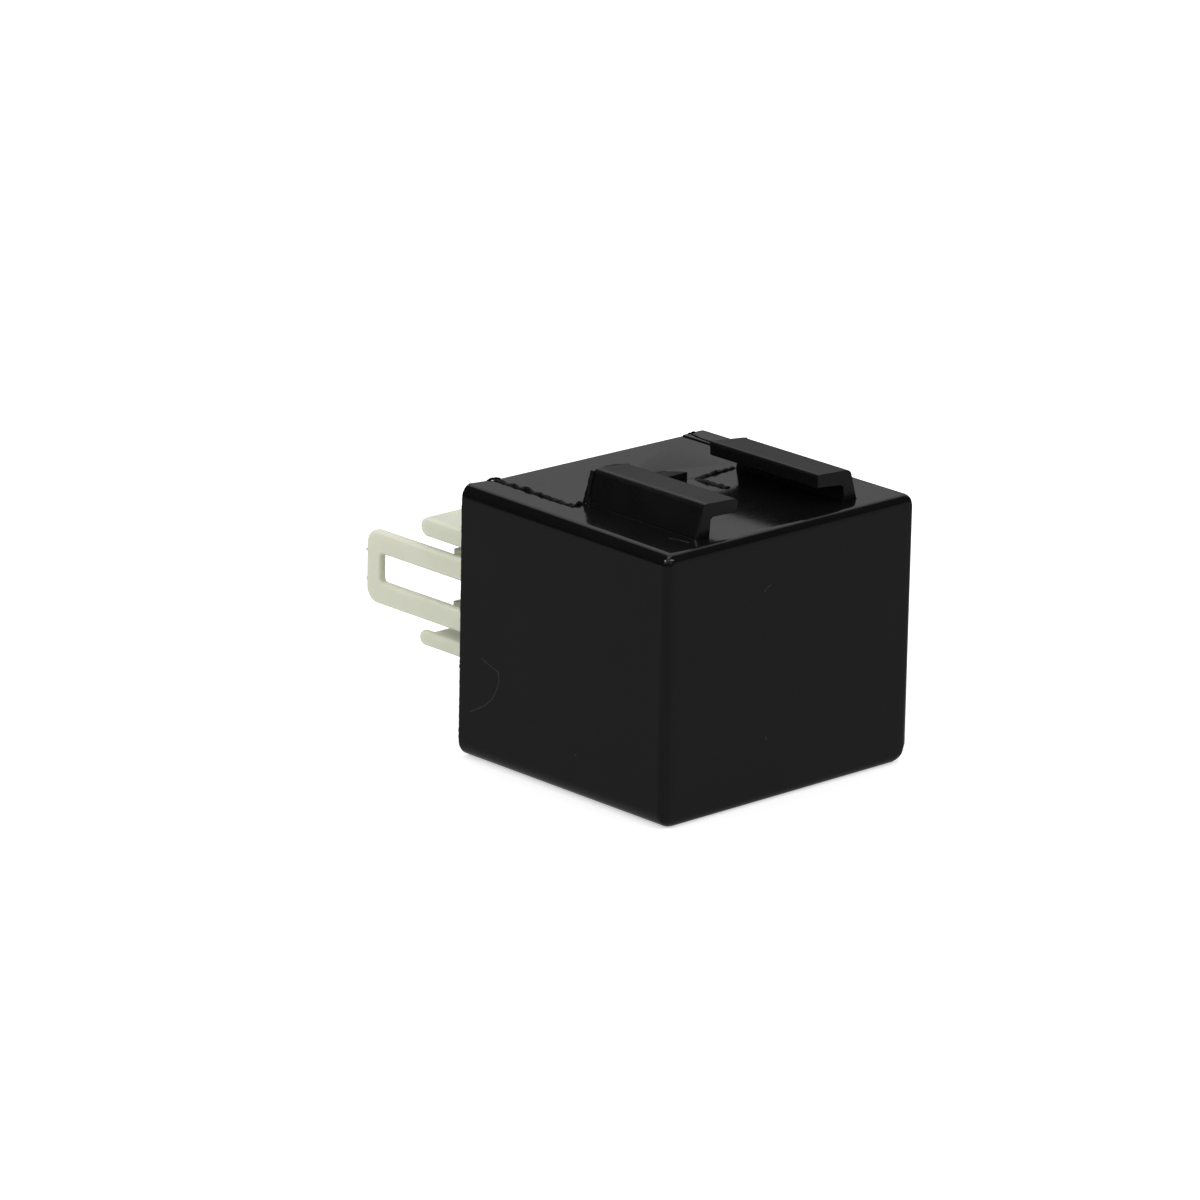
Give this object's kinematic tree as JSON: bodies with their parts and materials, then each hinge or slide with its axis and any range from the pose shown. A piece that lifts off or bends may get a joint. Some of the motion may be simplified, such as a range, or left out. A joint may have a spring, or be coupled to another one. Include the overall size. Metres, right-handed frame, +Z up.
{
  "type": "automotive relay",
  "caption": "Plug-in automotive relay: black moulded cap with bracket rails, pale base with connector shelves, blade terminals and a latch loop, and a sprung armature inside.",
  "frame": {"origin": "middle of the cap's flat face opposite the rails, on which the relay lies", "axes": "+X across the cap's width, +Y from the closed end towards the blades, +Z up to the bracket rails"},
  "size_m": [0.028, 0.042, 0.026],
  "materials": {
    "cap_plastic": "smooth moulded black, half gloss",
    "base_plastic": "natural pale greenish cream, satin",
    "tinned_brass": "tin plated, satin",
    "bobbin_plastic": "dark moulded",
    "enamelled_wire": "enamelled copper, glossy",
    "plated_iron": "zinc plated soft iron",
    "spring_bronze": "rolled bronze strip",
    "contact_silver": "silver alloy, satin",
    "resistor_body": "lacquered"
  },
  "bodies": {
    "relay_body": {"cap": "cap_plastic", "base": "base_plastic", "common_terminal": "tinned_brass", "contact_terminal": "tinned_brass", "coil_terminal_left": "tinned_brass", "coil_terminal_right": "tinned_brass", "back_stop": "tinned_brass", "bobbin": "bobbin_plastic", "coil_winding": "enamelled_wire", "core": "plated_iron", "yoke": "plated_iron", "fixed_contact": "contact_silver", "coil_lead_left": "enamelled_wire", "coil_lead_right": "enamelled_wire", "suppression_resistor": "resistor_body"},
    "armature_body": {"armature": "plated_iron", "contact_spring": "spring_bronze", "armature_rivets": "spring_bronze", "moving_contact": "contact_silver"}
  },
  "joints": [
    {"name": "armature_hinge", "type": "hinge", "parent": "relay_body", "child": "armature_body", "pos_m": [-0.0098, -0.00622, 0.01155], "axis": [0, 0, 1], "range_deg": [0, 2.7], "stiffness_Nm_per_rad": 0.01, "springref_deg": -11.46}
  ]
}
